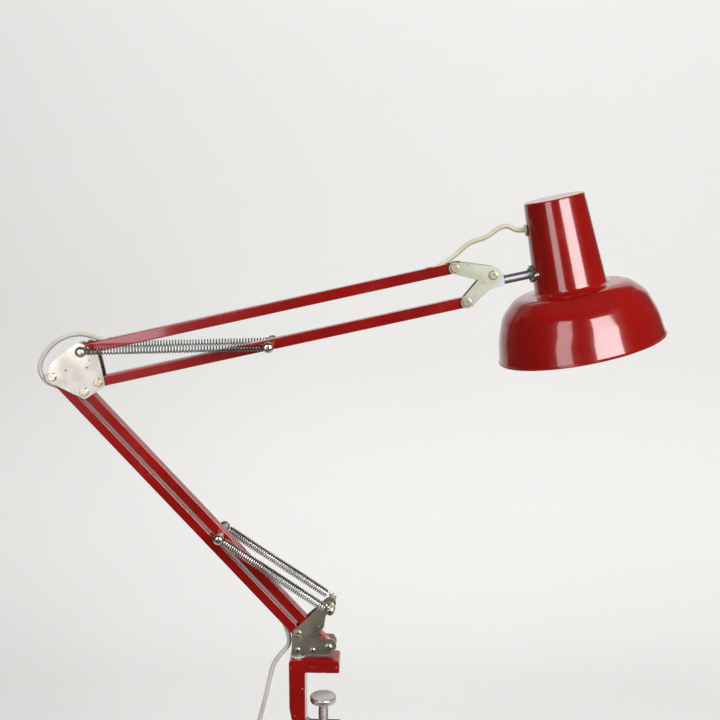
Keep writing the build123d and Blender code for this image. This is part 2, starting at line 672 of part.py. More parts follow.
def lampholder_strap():
    """The strap inside the neck, held by the saddle's screws, with the lampholder's shelf."""
    low, high = STEM_HEIGHT - STRAP_HIGH / 2, STEM_HEIGHT + STRAP_HIGH / 2
    inside = -SHADE_WALL - STRAP_GAP
    shell = neck_shell(inside - STRAP_THICK, STRAP_THICK, low, high)
    body = shell & (Pos(-NECK_R, 0, -STEM_HEIGHT) * Box(1.4 * NECK_R, 46.0, STRAP_HIGH))
    spine_x = -neck_radius(SHELF_AT) + SHADE_WALL + 1.6
    spine_length = STEM_HEIGHT - SHELF_AT + STRAP_HIGH / 2
    spine = Pos(spine_x, 0, -SHELF_AT - spine_length / 2) * Box(STRAP_THICK, 11.0, spine_length)
    shelf = Pos(0, 0, -SHELF_AT - STRAP_THICK / 2) * Cylinder(SHELF_R, STRAP_THICK)
    bridge = Pos(spine_x / 2, 0, -SHELF_AT - STRAP_THICK / 2) * Box(-spine_x, 11.0, STRAP_THICK)
    join_x = (spine_x - neck_radius(STEM_HEIGHT)) / 2 + 0.6
    join = Pos(join_x, 0, -STEM_HEIGHT) * Box(6.0, 11.0, STRAP_HIGH)
    join -= neck_shell(inside, 30.0, low - 4.0, high + 4.0)
    body += spine + shelf + bridge + join
    body -= side_hole(GROMMET_AT, 0.0, CORD_R + 0.6)
    for side in (-1, 1):
        body -= side_hole(STEM_HEIGHT, side * SADDLE_TURN, SADDLE_SCREW_R + RUN_FIT)
    return SHADE_PLACE * body


HOLDER_TOP = SHELF_AT + STRAP_THICK


def lampholder_shell():
    body = Pos(0, 0, -HOLDER_TOP - HOLDER_LENGTH / 2) * Cylinder(HOLDER_R, HOLDER_LENGTH)
    body = fillet(body.edges().filter_by(GeomType.CIRCLE), 1.5)
    bore_length = HOLDER_LENGTH - 8.0
    bore = Pos(0, 0, -HOLDER_TOP - HOLDER_LENGTH + bore_length / 2) * Cylinder(BULB_CAP_R + 0.4, bore_length)
    return SHADE_PLACE * (body - bore)


def lampholder_ring():
    ring = Cylinder(HOLDER_RING_R, HOLDER_RING_LENGTH) - Cylinder(HOLDER_R, HOLDER_RING_LENGTH)
    return SHADE_PLACE * (Pos(0, 0, -HOLDER_TOP - HOLDER_LENGTH * 0.72) * ring)


CAP_TOP = HOLDER_TOP + 10.4


def bulb_cap():
    cap = Pos(0, 0, -CAP_TOP - BULB_CAP_LENGTH / 2 - 1.0) * Cylinder(BULB_CAP_R, BULB_CAP_LENGTH - 2.0)
    tip = Pos(0, 0, -CAP_TOP - 1.0) * Cylinder(4.5, 2.0)
    return SHADE_PLACE * (cap + tip)


def bulb_glass():
    """A globe lamp's glass: a ball with a short neck that seats in the cap."""
    neck_top = CAP_TOP + BULB_CAP_LENGTH
    ball_at = neck_top + BULB_LENGTH - BULB_R
    neck = Pos(0, 0, -(neck_top + ball_at) / 2) * Cylinder(BULB_CAP_R - 0.8, ball_at - neck_top)
    ball = Pos(0, 0, -ball_at) * Sphere(BULB_R)
    return SHADE_PLACE * (neck + ball)


def cord_grommet():
    seat = neck_radius(GROMMET_AT)
    outer = GROMMET_STANDS + GROMMET_FLANGE
    flange = Pos(-seat - outer + GROMMET_FLANGE / 2, 0, -GROMMET_AT) * Rot(0, 90, 0)
    flange = flange * Cylinder(GROMMET_R, GROMMET_FLANGE)
    flange = fillet(flange.edges().filter_by(GeomType.CIRCLE), 0.6)
    barrel = Pos(-seat + 0.6, 0, -GROMMET_AT) * Rot(0, 90, 0) * Cylinder(GROMMET_HOLE_R + 0.95, 3.4)
    body = flange + barrel - side_hole(GROMMET_AT, 0.0, CORD_R + RUN_FIT)
    return SHADE_PLACE * body


# ---------------------------------------------------------------- cord
def cord_route(points):
    """Straight runs joined by arcs, each as large as its two runs allow."""
    radii = []
    for before, here, after in zip(points, points[1:], points[2:]):
        first = Vector(*here) - Vector(*before)
        second = Vector(*after) - Vector(*here)
        turn = first.get_angle(second)
        radii.append(0.45 * min(first.length, second.length) / tan(radians(turn / 2)))
    route = FilletPolyline(*points, radius=radii)
    print("  radii", [round(radius, 1) for radius in radii], "length", round(route.length, 1))
    return route


def cord_tube(route, first=0, last=None):
    """The cord round some of the route's edges, counted from its start."""
    edges = route.edges().sort_by(lambda edge: route.param_at_point(edge @ 0.5))
    wire = Wire(edges[first:last])
    section = Plane(origin=wire @ 0, z_dir=wire % 0) * Circle(CORD_R)
    return sweep(section, path=wire)


def at_depth(points):
    """Points of the middle plane as 3-D points."""
    return [(x, 0.0, z) for x, z in points]


LOWER_RUN_START = beside(BASE_REAR, LOWER_ANGLE, 44.0, 0)
UPPER_RUN_START = beside(ELBOW_TOP, UPPER_ANGLE, 44.0, 0)

ELBOW_CORD = [
    LOWER_RUN_START,
    beside(ELBOW_LEFT, LOWER_ANGLE, -25.0, 0.6),
    step(ELBOW_LEFT, (5.4, -11.2)),
    step(ELBOW_LEFT, (-9.0, -6.4)),
    step(ELBOW_LEFT, (-15.0, 7.8)),
    step(ELBOW_LEFT, (-5.6, 25.8)),
    step(ELBOW_TOP, (-21.4, 11.4)),
    step(ELBOW_TOP, (-3.4, 14.8)),
    step(ELBOW_TOP, (12.6, 9.8)),
    beside(ELBOW_TOP, UPPER_ANGLE, 26.0, 0.6),
    UPPER_RUN_START,
]
INLET_START = beside(SHADE_TOP, STEM_ANGLE, -neck_radius(GROMMET_AT) - 10.5, -GROMMET_AT)
INLET_END = beside(SHADE_TOP, STEM_ANGLE, -neck_radius(GROMMET_AT) + 1.5, -GROMMET_AT)
HEAD_CORD = [
    UPPER_RUN_START,
    beside(HEAD_TOP, UPPER_ANGLE, -28.0, 0.4),
    beside(HEAD_TOP, UPPER_ANGLE, -12.0, 5.0),
    step(HEAD_TOP, (1.3, 12.4)),
    step(HEAD_TOP, (13.3, 23.4)),
    step(HEAD_TOP, (28.3, 28.9)),
    step(HEAD_TOP, (41.3, 36.1)),
    INLET_START,
    INLET_END,
]
SWITCH_POINT = (-66.0, -130.0)
SWITCH_REACH = SWITCH_SIZE[2] / 2 + RELIEF_LENGTH
RING_POINT = (SWITCH_POINT[0], SWITCH_POINT[1] - SWITCH_REACH - RING_LEAD)
PLUG_TOP = RING_POINT[1] - RING_LEAD - RELIEF_LENGTH
MAINS_CORD = [
    LOWER_RUN_START,
    beside(BASE_REAR, LOWER_ANGLE, 26.0, 0.8),
    beside(BASE_REAR, LOWER_ANGLE, 14.0, 5.0),
    step(BASE_REAR, (-7.2, -11.9)),
    (-43.6, 12.4),
    (-50.6, 1.0),
    (-55.0, -20.0),
    (-60.5, -43.0),
    (SWITCH_POINT[0], -63.0),
    (SWITCH_POINT[0], SWITCH_POINT[1] + SWITCH_REACH),
]


def cord_run(start, end):
    """A straight length of cord inside a tube."""
    length, angle = span(start, end)
    return tube_along(start, angle, length, CORD_R)


def strain_relief():
    """A tapered sleeve that stands on the XY plane and ends in a rounded tip."""
    cone = Pos(0, 0, RELIEF_LENGTH / 2) * Cone(RELIEF_R, RELIEF_TIP_R, RELIEF_LENGTH)
    return fillet(cone.edges().sort_by(Axis.Z)[-1], 0.5)


def switch_body():
    wide, deep, tall = SWITCH_SIZE
    body = Box(wide, deep, tall)
    body = fillet(body.edges(), SWITCH_ROUND)
    for turn in (0, 180):
        body += Rot(turn, 0, 0) * Pos(0, 0, tall / 2) * strain_relief()
    pocket_size = (ROCKER_SIZE[1] + 1.0, 7.0, ROCKER_SIZE[2] + 1.6)
    pocket = Pos(0, -deep / 2 + pocket_size[1] / 2, 0) * Box(*pocket_size)
    return Pos(SWITCH_POINT[0], 0, SWITCH_POINT[1]) * (body - pocket)


def switch_rocker():
    """The rocker, lying in its on position."""
    thick, wide, tall = ROCKER_SIZE
    body = fillet(Box(wide, thick, tall).edges(), 0.8)
    place = Pos(SWITCH_POINT[0], -SWITCH_SIZE[1] / 2 + 1.4, SWITCH_POINT[1])
    return place * Rot(7, 0, 0) * body


def cord_ring():
    """The coil of spare cord, hanging in a plane square to the arms."""
    return Pos(RING_POINT[0], 0, RING_POINT[1]) * Rot(0, 90, 0) * Torus(RING_R, RING_TUBE_R)


def cord_tie():
    band = Cylinder(TIE_R, TIE_LENGTH) - Cylinder(RING_TUBE_R + TIE_GAP, TIE_LENGTH)
    return Pos(RING_POINT[0], RING_R, RING_POINT[1]) * band


def plug_body():
    wide, deep = PLUG_PIN_SPACING + 10.0, 15.0
    body = Box(wide, deep, PLUG_LENGTH)
    body = fillet(body.edges().filter_by(Axis.Z), 5.0)
    body = fillet(body.faces().sort_by(Axis.Z)[-1].edges(), 4.0)
    body += Pos(0, 0, PLUG_LENGTH / 2) * strain_relief()
    return Pos(RING_POINT[0], 0, PLUG_TOP - PLUG_LENGTH / 2) * body


def plug_pins():
    pins = []
    for side in (-1, 1):
        pin = Cylinder(PLUG_PIN_R, PLUG_PIN_LENGTH)
        pin = fillet(pin.edges().sort_by(Axis.Z)[0], PLUG_PIN_R * 0.5)
        x = RING_POINT[0] + side * PLUG_PIN_SPACING / 2
        pins.append(Pos(x, 0, PLUG_TOP - PLUG_LENGTH - PLUG_PIN_LENGTH / 2) * pin)
    return Compound(children=pins)


def save_clamp():
    save("clamp_body", clamp_body())
    save("clamp_pad", clamp_pad())
    save("clamp_screw", clamp_screw())
    save("clamp_handle", clamp_handle())
    save("post_washer", post_washer())


def save_plates(name, near):
    save(name + "_near", near)
    save(name + "_far", mirror(near, about=Plane.XZ))


def save_screws(name, points, slot_angle):
    """Slotted screws through both plates, each with a domed nut on the far side."""
    nuts = []
    for point in points:
        nuts.append(dome_nut(point, PLATE_OUT, 1))
    screws = [slotted_screw(point, 2 * PLATE_OUT + 3.4, slot_angle + 40 * count) for count, point in enumerate(points)]
    save(name + "_screws", Compound(children=screws))
    save(name + "_nuts", Compound(children=nuts))


def save_bracket():
    save("swivel_post", swivel_post())
    save_plates("base_plate", base_plate())
    save("base_rivets", Compound(children=[rivet(point) for point in RIVET_POINTS]))
    save_screws("base", [BASE_REAR, BASE_FRONT], 20)
    save("base_spring_studs", both_sides(spring_stud()))


def save_arms():
    save("lower_rear_bar", lower_rear_bar())
    save("lower_front_bar", lower_front_bar())
    save("upper_top_bar", upper_top_bar())
    save("upper_bottom_bar", upper_bottom_bar())


def save_elbow():
    save_plates("elbow_plate", elbow_plate())
    save_screws("elbow", [ELBOW_LEFT, ELBOW_LOW, ELBOW_RIGHT], -30)
    save("elbow_spring_pin", spring_pin(ELBOW_TOP, UPPER_SPRING_WIRE, PLATE_OUT, PIN_R))
    save("elbow_spring_domes", both_sides(spring_dome(ELBOW_TOP, UPPER_SPRING_WIRE, PIN_R)))


def save_spring(name, anchor, tail, pin_radius, wire, outer):
    """A pair of springs: coils with their anchor loops, last turns, tail hooks and the tail pin."""
    shank = COIL_GAP - (pin_radius + LOOP_FIT + wire) + HOOK_SHANK
    angle = span(anchor, tail)[1]
    loop = spring_loop(anchor, angle, wire, pin_radius, shank)
    save(name + "_coils", both_sides(loop + coil(anchor, tail, wire, outer)))
    save(name + "_end_turns", both_sides(coil_end(anchor, tail, wire, outer)))
    save(name + "_hooks", both_sides(spring_loop(tail, angle + 180, wire, SPRING_PIN_R, shank)))
    save(name + "_tail_pin", tail_pin(tail, wire))


def save_springs():
    save_spring("lower_spring", HORN, LOWER_TAIL, SPRING_PIN_R, LOWER_SPRING_WIRE, LOWER_SPRING_R)
    save_spring("upper_spring", ELBOW_TOP, UPPER_TAIL, PIN_R, UPPER_SPRING_WIRE, UPPER_SPRING_R)


def save_head():
    save_plates("head_plate", head_plate())
    save_screws("head", [HEAD_TOP, HEAD_LOW, HEAD_PIVOT], 50)
    save("knuckle", knuckle())
    save("stem_rod", stem_rod())
    save("stem_clip", stem_clip_ring(CLIP_R, STEM_JOURNAL_R - 0.5 + RUN_FIT))
    save("saddle", saddle())
    save("saddle_screws", saddle_screws())
    save("shade", shade())
    save("cord_grommet", cord_grommet())
    save("lampholder_strap", lampholder_strap())
    save("lampholder_shell", lampholder_shell())
    save("lampholder_ring", lampholder_ring())
    save("bulb_cap", bulb_cap())
    save("bulb_glass", bulb_glass())


def save_cord():
    route = cord_route(at_depth(ELBOW_CORD))
    save("elbow_cord_lower", cord_tube(route, 0, 11))
    save("elbow_cord_upper", cord_tube(route, 11))
    route = cord_route(at_depth(HEAD_CORD))
    save("head_cord_rear", cord_tube(route, 0, 7))
    save("head_cord_middle", cord_tube(route, 7, 13))
    save("head_cord_front", cord_tube(route, 13))
    route = cord_route(at_depth(MAINS_CORD))
    save("mains_cord_root", cord_tube(route, 0, 6))
    save("mains_cord", cord_tube(route, 6))
    x, ring_z = RING_POINT
    lower = cord_run((x, SWITCH_POINT[1] - SWITCH_REACH), (x, ring_z + RING_R))
    tail = cord_run((x, ring_z - RING_R), (x, PLUG_TOP + RELIEF_LENGTH))
    save("mains_cord_ends", Compound(children=[lower, tail]))
    save("cord_ring", cord_ring())
    save("cord_tie", cord_tie())
    save("switch_body", switch_body())
    save("switch_rocker", switch_rocker())
    save("plug_body", plug_body())
    save("plug_pins", plug_pins())


save_clamp()
save_bracket()
save_arms()
save_elbow()
save_springs()
save_head()
save_cord()
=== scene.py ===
# %% [markdown]
# # A clamp-on desk lamp with sprung arms
# The lamp is two parallelograms of square steel tube, one above the other, held up by
# springs, with a deep bell shade on the end. The solid pieces arrive as a ready-made frame:
# every tube, plate and screw already has its true size and place. What is left is what a
# frame can't show well: real wire springs, a soft cord, the paint, the plating and the light.
#
# Everything is in metres. +Z is up, the arms reach towards +X, and the origin is the spot
# on the desk right above the clamp's screw.

# %% Load the frame
import bpy
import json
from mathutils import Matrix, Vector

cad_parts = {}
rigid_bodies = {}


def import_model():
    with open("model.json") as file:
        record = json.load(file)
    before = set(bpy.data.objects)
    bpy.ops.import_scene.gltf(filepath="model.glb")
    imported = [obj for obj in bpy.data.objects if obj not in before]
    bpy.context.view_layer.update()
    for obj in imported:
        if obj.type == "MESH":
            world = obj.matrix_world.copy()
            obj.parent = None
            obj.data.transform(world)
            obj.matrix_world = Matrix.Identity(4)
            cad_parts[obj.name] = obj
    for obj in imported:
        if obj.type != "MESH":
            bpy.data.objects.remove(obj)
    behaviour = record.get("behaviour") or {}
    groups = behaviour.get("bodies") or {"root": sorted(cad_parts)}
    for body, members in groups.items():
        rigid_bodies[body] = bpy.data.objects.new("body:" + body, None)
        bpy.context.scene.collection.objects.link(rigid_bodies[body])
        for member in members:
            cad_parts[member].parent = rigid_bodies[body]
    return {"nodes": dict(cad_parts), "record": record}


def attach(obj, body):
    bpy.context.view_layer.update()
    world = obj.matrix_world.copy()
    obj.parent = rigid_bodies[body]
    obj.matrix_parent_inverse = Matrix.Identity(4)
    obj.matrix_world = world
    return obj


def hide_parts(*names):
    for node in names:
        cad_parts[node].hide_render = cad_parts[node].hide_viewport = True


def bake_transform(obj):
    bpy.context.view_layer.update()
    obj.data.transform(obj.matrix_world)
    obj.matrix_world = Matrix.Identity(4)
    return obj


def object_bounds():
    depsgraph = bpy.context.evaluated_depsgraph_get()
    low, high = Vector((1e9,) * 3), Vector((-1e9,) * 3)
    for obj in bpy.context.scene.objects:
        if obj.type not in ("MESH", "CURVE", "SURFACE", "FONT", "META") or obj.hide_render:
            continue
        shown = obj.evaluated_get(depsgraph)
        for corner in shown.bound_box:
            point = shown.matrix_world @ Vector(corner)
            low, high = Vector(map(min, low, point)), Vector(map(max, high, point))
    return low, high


for leftover in list(bpy.data.objects):
    bpy.data.objects.remove(leftover)
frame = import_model()

import json
from math import cos, pi, radians, sin

import bmesh
from mathutils import Matrix, Vector

cad_box = [list(corner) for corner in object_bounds()]
print("pieces in the frame:", len(frame["nodes"]))

# %% [markdown]
# ## The camera
# It stands a little over a metre in front of the arms, near the height of the shade, and
# looks slightly down. A longer lens than the default keeps the two arms nearly parallel.

# %% Camera
CAMERA_PLACE = (0.0765, -1.0771, 0.5205)
CAMERA_TURN = (radians(79.1), 0.0, radians(2.1))

camera_data = bpy.data.cameras.new("camera")
camera_data.lens = 58.0
camera_data.sensor_width = 36.0
camera_data.clip_start = 0.01
camera = bpy.data.objects.new("camera", camera_data)
camera.location = CAMERA_PLACE
camera.rotation_euler = CAMERA_TURN
bpy.context.scene.collection.objects.link(camera)
bpy.context.scene.camera = camera
print("camera at", CAMERA_PLACE)

# %% [markdown]
# ## Places on the lamp
# The frame knows where each joint turns, so pivots are looked up by the joint's name. From a
# pivot, any other place is a distance along an arm and a distance beside it.

# %% Pivots and directions
MM = 0.001
LOWER_ANGLE = 132.0      # direction of the lower arm, in degrees above +X
UPPER_ANGLE = 12.7
STEM_ANGLE = 12.4

joints = {joint["name"]: joint for joint in frame["record"]["behaviour"]["joints"]}


def pivot(joint):
    return Vector(joints[joint]["pos_m"])


def direction(angle):
    return Vector((cos(radians(angle)), 0.0, sin(radians(angle))))


def beside(point, angle, along, across=0.0):
    """A point given in millimetres along a direction and to its left."""
    return point + direction(angle) * along * MM + direction(angle + 90.0) * across * MM


def middle_plane(*points):
    """Points of the middle plane, from pairs of millimetres."""
    return [Vector((x * MM, 0.0, z * MM)) for x, z in points]


base_rear = pivot("lower_lift")
elbow_left = pivot("elbow_level")
elbow_top = pivot("upper_lift")
head_top = pivot("head_level")
head_pivot = pivot("head_tilt")
stem_foot = pivot("head_turn")
print("arms turn at", [tuple(round(v, 4) for v in p) for p in (base_rear, elbow_left, elbow_top, head_top)])

# %% [markdown]
# ## Cords
# A cord is one NURBS line with a round section. The line needs few points: it runs smoothly
# past them, the way a soft cord does, and no corner is ever drawn. The order and the
# endpoint setting are given after the points, because a line with no points can't keep them.
#
# Where the cord crosses a pivot it has to bend with the arm. Such a stretch is turned into
# a mesh of its own.

# %% Cord helpers
CORD_R = 2.3 * MM


def link(obj):
    bpy.context.scene.collection.objects.link(obj)
    return obj


def wire_line(name, routes, radius, detail=12):
    """Round wire along one or more routes."""
    line = bpy.data.curves.new(name, "CURVE")
    line.dimensions = "3D"
    for points in routes:
        spline = line.splines.new("NURBS")
        spline.points.add(len(points) - 1)
        for knot, point in zip(spline.points, points):
            knot.co = (*point, 1.0)
        spline.order_u = 3
        spline.use_endpoint_u = True
        spline.resolution_u = detail
    line.bevel_depth = radius
    line.bevel_resolution = 4
    line.use_fill_caps = True
    return link(bpy.data.objects.new(name, line))


def turned_into_mesh(obj):
    """The object's own shape as a mesh, in place of the curve that drew it."""
    bpy.context.view_layer.update()
    shape = obj.evaluated_get(bpy.context.evaluated_depsgraph_get())
    mesh = bpy.data.meshes.new_from_object(shape)
    name = obj.name
    bpy.data.objects.remove(obj)
    made = link(bpy.data.objects.new(name, mesh))
    made.data.polygons.foreach_set("use_smooth", [True] * len(mesh.polygons))
    return made


def centre_line(name, points):
    """Where a cord's middle runs, read from the same line drawn without its section."""
    bare = wire_line(name, [points], 0.0)
    bare.data.use_fill_caps = False
    bpy.context.view_layer.update()
    mesh = bpy.data.meshes.new_from_object(bare.evaluated_get(bpy.context.evaluated_depsgraph_get()))
    path = [tuple(vertex.co) for vertex in mesh.vertices]
    bpy.data.objects.remove(bare)
    bpy.data.meshes.remove(mesh)
    length = sum((Vector(b) - Vector(a)).length for a, b in zip(path, path[1:]))
    return path, length


def bending_cord(name, points, nodes):
    """A stretch of cord between two bodies that turn against each other."""
    path, length = centre_line(name + "_line", points)
    cord = turned_into_mesh(wire_line(name, [points], CORD_R))
    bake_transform(cord)
    if nodes:
        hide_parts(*nodes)
    print(name, "is", round(length / MM), "mm long")
    return cord


def halfway(a, b):
    return (Vector(a) + Vector(b)) / 2

# %% [markdown]
# ### The cord over the elbow
# It leaves the lower tube, bows out round the elbow and dives into the upper tube. The bow
# is cut in two at its top, because its halves bend about different pivots. Both halves end
# half-way between the same two points, where the line runs straight from one to the other,
# so the cut doesn't show.

# %% Elbow cord
elbow_rise = [beside(base_rear, LOWER_ANGLE, 44.0), beside(elbow_left, LOWER_ANGLE, -25.0, 0.6)]
elbow_rise += middle_plane((-251.0, 284.6), (-265.4, 289.4), (-271.4, 303.6), (-262.0, 321.6), (-245.5, 333.8))
elbow_fall = middle_plane((-227.5, 337.2), (-211.5, 332.2))
elbow_fall += [beside(elbow_top, UPPER_ANGLE, 26.0, 0.6), beside(elbow_top, UPPER_ANGLE, 44.0)]
elbow_cut = halfway(elbow_rise[-1], elbow_fall[0])

elbow_cord_rise = bending_cord(
    "elbow_cord_rise", elbow_rise + [elbow_cut],
    ["elbow_cord_lower"])
elbow_cord_fall = bending_cord(
    "elbow_cord_fall", [elbow_cut] + elbow_fall,
    ["elbow_cord_upper"])

# %% [markdown]
# ### The cord into the shade
# From the end of the upper tube it climbs over the head bracket and down into the rubber
# collar in the shade's neck. Three joints lie under it, so it is made of three stretches.

# %% Head cord
shade_top = beside(head_pivot, STEM_ANGLE, 68.0, 57.8)
inlet_end = beside(shade_top, STEM_ANGLE, -28.1, -24.2)

head_rear = [beside(elbow_top, UPPER_ANGLE, 44.0), beside(head_top, UPPER_ANGLE, -28.0, 0.4)]
head_rear += [beside(head_top, UPPER_ANGLE, -12.0, 5.0)] + middle_plane((126.5, 413.5))
head_middle = middle_plane((138.5, 425.0), (154.0, 428.8))
head_front = middle_plane((165.0, 438.2), (174.0, 440.2), (181.0, 435.0)) + [inlet_end]
rear_cut = halfway(head_rear[-1], head_middle[0])
front_cut = halfway(head_middle[-1], head_front[0])

head_cord_rise = bending_cord(
    "head_cord_rise", head_rear + [rear_cut],
    ["head_cord_rear"])
head_cord_bridge = bending_cord(
    "head_cord_bridge", [rear_cut] + head_middle + [front_cut],
    ["head_cord_middle"])
head_cord_inlet = bending_cord(
    "head_cord_inlet", [front_cut] + head_front,
    ["head_cord_front"])

# %% [markdown]
# ### The mains lead
# Its first bend, out of the lower tube, follows the arm. Then it hangs free beside the
# desk, through a small in-line switch, and the spare length is wound into a round bundle
# that a tie holds, with the plug below. The turns lie side by side like the strands of a
# rope: as the lead goes round, its place in the bundle moves on by a ninth of a circle a
# turn, so no two turns ever want the same place.

# %% Mains lead
root_points = [beside(base_rear, LOWER_ANGLE, 44.0), beside(base_rear, LOWER_ANGLE, 26.0, 0.8)]
root_points += [beside(base_rear, LOWER_ANGLE, 14.0, 5.0)] + middle_plane((-31.4, 26.0))
hanging = middle_plane((-43.6, 12.4), (-50.6, 1.0), (-55.0, -20.0), (-60.5, -43.0), (-66.0, -63.0), (-66.0, -83.0))
root_cut = halfway(root_points[-1], hanging[0])

mains_cord_root = bending_cord(
    "mains_lead_root", root_points + [root_cut],
    ["mains_cord_root"])

LEAD_X = -66.0
BUNDLE_Z = -227.0
BUNDLE_R = 26.0          # middle of the turns
STRANDS_R = 6.75         # from the bundle's middle to each turn's own middle
TURNS = 8.375
STEPS_A_TURN = 16
FIRST_TURN_AT = 66.0     # degrees round the bundle where its first turn starts
STRAND_SHIFT = 40.0      # degrees that the lead moves on within the bundle, each turn

bundle = []
for count in range(int(TURNS * STEPS_A_TURN) + 1):
    round_bundle = radians(FIRST_TURN_AT - count * 360.0 / STEPS_A_TURN)
    in_bundle = radians(STRAND_SHIFT * count / STEPS_A_TURN)
    reach = (BUNDLE_R + STRANDS_R * cos(in_bundle)) / cos(pi / STEPS_A_TURN)
    aside = STRANDS_R * sin(in_bundle)
    bundle.append(Vector((LEAD_X + aside, reach * cos(round_bundle), BUNDLE_Z + reach * sin(round_bundle))) * MM)

lead_in = [Vector((LEAD_X, 0, z)) * MM for z in (-130.0, -177.0, BUNDLE_Z + 47.0)]
lead_in += [Vector((LEAD_X, 3.0, BUNDLE_Z + 37.5)) * MM]
lead_out = [Vector((LEAD_X - 1.2, 3.0, BUNDLE_Z - 37.5)) * MM, Vector((LEAD_X, 0, BUNDLE_Z - 47.0)) * MM]
lead_out += [Vector((LEAD_X, 0, z)) * MM for z in (-285.0, -297.0)]
mains_points = [root_cut] + hanging + lead_in + bundle + lead_out

mains_path, mains_length = centre_line("mains_line", mains_points)
mains_lead = turned_into_mesh(wire_line("mains_lead", [mains_points], CORD_R))
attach(mains_lead, "bracket")
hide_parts("mains_cord", "mains_cord_ends", "cord_ring")
print("mains lead is", round(mains_length, 3), "m long, with", len(mains_points), "points")

# %% [markdown]
# ## Springs
# A coil spring is a round section that turns about an axis while it climbs along it, which
# is exactly what the spin operator does when it is given a step as well as an angle. Each
# pair is one mesh. It runs between two bodies: one swings on the spring's fixed end,
# and the other slides away from it.

# %% Coils
def finish_mesh(name, bm, smooth=True):
    """The bmesh as a new object with closed, outward faces."""
    bmesh.ops.recalc_face_normals(bm, faces=bm.faces)
    mesh = bpy.data.meshes.new(name)
    bm.to_mesh(mesh)
    bm.free()
    mesh.polygons.foreach_set("use_smooth", [smooth] * len(mesh.polygons))
    return link(bpy.data.objects.new(name, mesh))


def wound_wire(bm, start, end, radius, wire, turns, steps=20, sides=8):
    """One helix from start to end, made by spinning the wire's round section."""
    made = bmesh.ops.create_circle(bm, cap_ends=False, radius=wire, segments=sides)["verts"]
    upright = Matrix.Translation((radius, 0, 0)) @ Matrix.Rotation(radians(90), 4, "X")
    bmesh.ops.transform(bm, matrix=upright, verts=made)
    ring = [edge for edge in bm.edges if edge.verts[0] in made and edge.verts[1] in made]
    count = int(turns * steps)
    climb = (end - start).length / count
    before = set(bm.verts) - set(made)
    bmesh.ops.spin(bm, geom=made + ring, cent=(0, 0, 0), axis=(0, 0, 1), dvec=(0, 0, climb),
                   angle=2 * pi * turns, steps=count)
    helix = [vertex for vertex in bm.verts if vertex not in before]
    ends = [edge for edge in bm.edges if edge.is_boundary]
    bmesh.ops.holes_fill(bm, edges=ends, sides=sides)
    place = Matrix.Translation(start) @ (end - start).to_track_quat("Z", "X").to_matrix().to_4x4()
    bmesh.ops.transform(bm, matrix=place, verts=helix)


SPRING_Y = 18.0 * MM
COIL_GAP = 5.8 * MM      # from a spring's pin to its first turn
LOOP_FIT = 0.35 * MM     # between a spring's end loop and its pin


def spring_pair(name, anchor, tail, radius, wire, turns, nodes):
    """Two coils, one on each side of the arm, that stretch between their two bodies."""
    along = (tail - anchor).normalized()
    start, end = anchor + along * COIL_GAP, tail - along * COIL_GAP
    bm = bmesh.new()
    for side in (-1, 1):
        shift = Vector((0, side * SPRING_Y, 0))
        wound_wire(bm, start + shift, end + shift, radius, wire, turns)
    coils = finish_mesh(name, bm)
    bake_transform(coils)
    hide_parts(*nodes)
    print(name, "has", len(coils.data.polygons), "faces and", turns, "turns a side")
    return coils


LOWER_WIRE, LOWER_COIL_R = 0.85 * MM, 3.65 * MM
UPPER_WIRE, UPPER_COIL_R = 0.6 * MM, 2.8 * MM
base_front = pivot("lower_front_swing")
elbow_right = pivot("upper_bottom_swing")
horn = pivot("lower_springs_swing")
lower_tail = beside(base_front, LOWER_ANGLE, 156.3)
upper_tail = beside(elbow_right, UPPER_ANGLE, 168.7)

lower_coils = spring_pair("lower_spring_wires", horn, lower_tail, LOWER_COIL_R, LOWER_WIRE, 52,
                          ["lower_spring_coils", "lower_spring_end_turns"])
upper_coils = spring_pair("upper_spring_wires", elbow_top, upper_tail, UPPER_COIL_R, UPPER_WIRE, 58,
                          ["upper_spring_coils", "upper_spring_end_turns"])

# %% [markdown]
# ### End loops
# Each spring's last turn runs in to the middle, wraps once round its pin and stops short.
# That is one piece of wire on a line of a dozen points.

# %% Spring hooks
def hook_route(pin, towards, y, ring, coil_radius):
    """Points of an end loop, from the coil's last turn round the pin."""
    along = (towards - pin).normalized()
    across = Vector((-along.z, 0, along.x))

    def at(ahead, aside, deep=0.0):
        return pin + along * ahead + across * aside + Vector((0, y + deep, 0))

    points = [at(COIL_GAP + 1.2 * MM, -coil_radius), at(COIL_GAP - 0.4 * MM, -coil_radius)]
    points.append(at(ring * 1.3, -0.75 * coil_radius))
    for turn in range(-50, -350, -30):
        points.append(at(ring * cos(radians(turn)), ring * sin(radians(turn))))
    return points


def hooks(name, pin, towards, pin_radius, wire, coil_radius, body, nodes=()):
    ring = (pin_radius * MM + LOOP_FIT + wire) * 1.04
    routes = [hook_route(pin, towards, side * SPRING_Y, ring, coil_radius) for side in (-1, 1)]
    made = turned_into_mesh(wire_line(name, routes, wire, detail=6))
    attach(made, body)
    if nodes:
        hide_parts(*nodes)
    print(name, "rides on", body)
    return made


lower_anchor_hooks = hooks("lower_anchor_hooks", horn, lower_tail, 2.2, LOWER_WIRE, LOWER_COIL_R, "lower_springs")
lower_tail_hooks = hooks("lower_tail_hooks", lower_tail, horn, 2.2, LOWER_WIRE, LOWER_COIL_R, "lower_front",
                         ["lower_spring_hooks"])
upper_anchor_hooks = hooks("upper_anchor_hooks", elbow_top, upper_tail, 2.5, UPPER_WIRE, UPPER_COIL_R, "upper_springs")
upper_tail_hooks = hooks("upper_tail_hooks", upper_tail, elbow_top, 2.2, UPPER_WIRE, UPPER_COIL_R, "upper_bottom",
                         ["upper_spring_hooks"])

